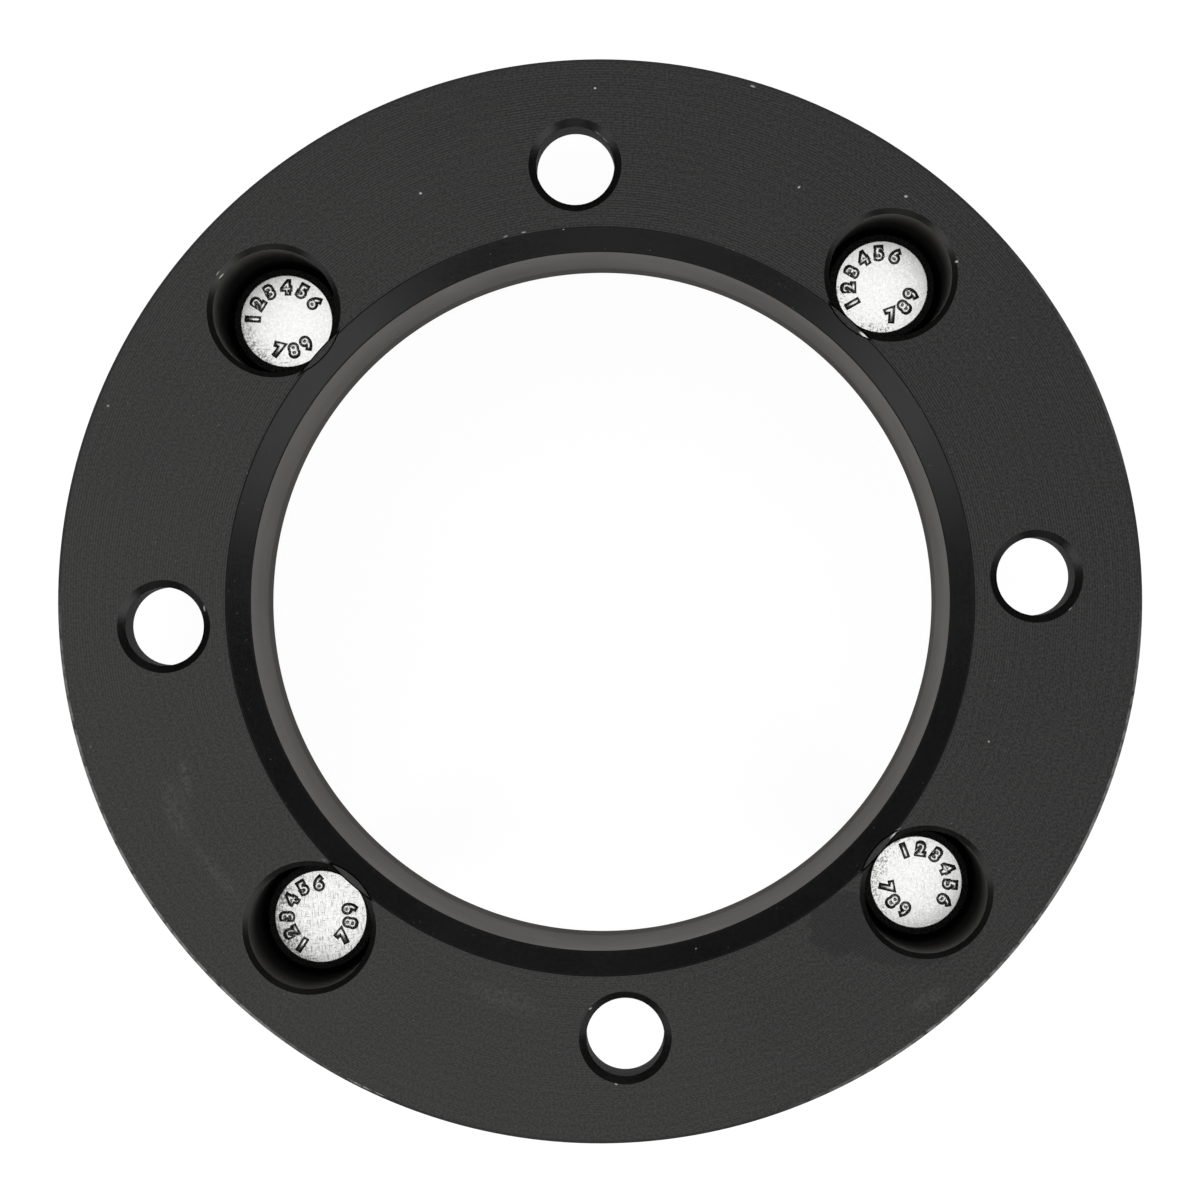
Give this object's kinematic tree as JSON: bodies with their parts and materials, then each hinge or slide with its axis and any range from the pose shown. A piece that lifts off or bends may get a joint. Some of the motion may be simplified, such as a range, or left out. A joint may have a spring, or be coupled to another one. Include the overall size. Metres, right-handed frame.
{
  "type": "wheel spacer",
  "caption": "Thick black ring that bolts to a hub and carries a wheel further out, with plain hub holes between press-in wheel studs round a large bore.",
  "frame": {"origin": "centre of the bolt circle, on the face that bolts to the hub", "axes": "+Z out of the hub face along the bore, +X through the centre of one hub hole; the studs point along -Z"},
  "size_m": [0.17, 0.17, 0.0699],
  "materials": {
    "black_anodised": "matte black anodised over fine turning lines",
    "stud_steel": "bright plated steel"
  },
  "bodies": {
    "root": {"spacer_ring": "black_anodised", "wheel_stud_1": "stud_steel", "wheel_stud_2": "stud_steel", "wheel_stud_3": "stud_steel", "wheel_stud_4": "stud_steel"}
  },
  "joints": []
}
